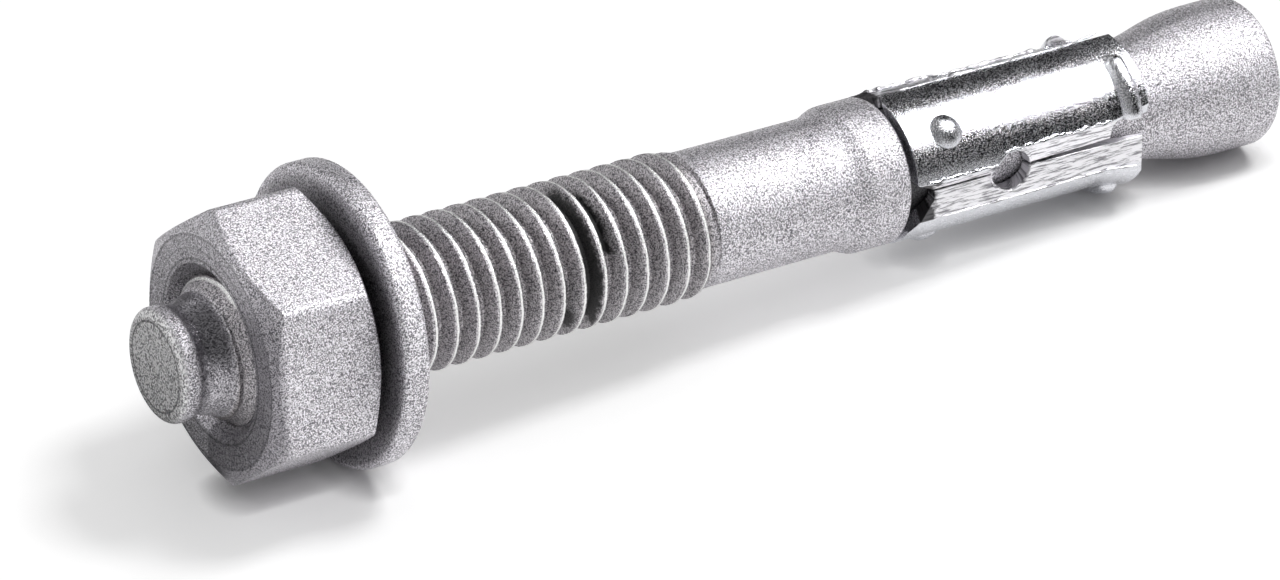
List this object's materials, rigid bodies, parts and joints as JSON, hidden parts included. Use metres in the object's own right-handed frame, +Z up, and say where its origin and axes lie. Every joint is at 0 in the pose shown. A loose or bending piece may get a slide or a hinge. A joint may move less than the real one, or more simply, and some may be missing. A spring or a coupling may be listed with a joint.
{
  "type": "wedge anchor",
  "caption": "Torque-set wedge anchor for masonry: a threaded bolt with an expansion cone, a stamped sleeve round its neck, a flat washer and a hex nut.",
  "frame": {"origin": "middle of the anchor's footprint, on the surface that the washer's rim and the cone's rim rest on", "axes": "+X along the anchor's length towards the cone, with the bolt's axis dipping a little to it; +Z up"},
  "size_m": [0.0672, 0.0156, 0.0157],
  "materials": {
    "bolt_zinc": "matte sherardized zinc, grainy, with a black smudge on the thread",
    "sleeve_plate": "bright plated sheet",
    "washer_zinc": "matte zinc, fine grain",
    "nut_zinc": "matte zinc, fine grain"
  },
  "bodies": {
    "bolt": {"anchor_bolt": "bolt_zinc"},
    "washer": {"flat_washer": "washer_zinc"},
    "nut": {"hex_nut": "nut_zinc"},
    "sleeve": {"expansion_sleeve": "sleeve_plate"}
  },
  "joints": [
    {"name": "nut_travel", "type": "slide", "parent": "bolt", "child": "washer", "axis": [0.998, 0, -0.0636], "range_m": [-0.005, 0.019]},
    {"name": "nut_turn", "type": "hinge", "parent": "washer", "child": "nut", "pos_m": [-0.0273, 0, 0.00792], "axis": [0.998, 0, -0.0636], "range_deg": [-1440.01, 5472.01]},
    {"name": "sleeve_turn", "type": "hinge", "parent": "bolt", "child": "sleeve", "pos_m": [0.01681, 0, 0.00511], "axis": [0.998, 0, -0.0636], "continuous": true}
  ],
  "couplings": [
    {"joint": "nut_turn", "follows": "nut_travel", "rad_per_m": 5026.5}
  ]
}
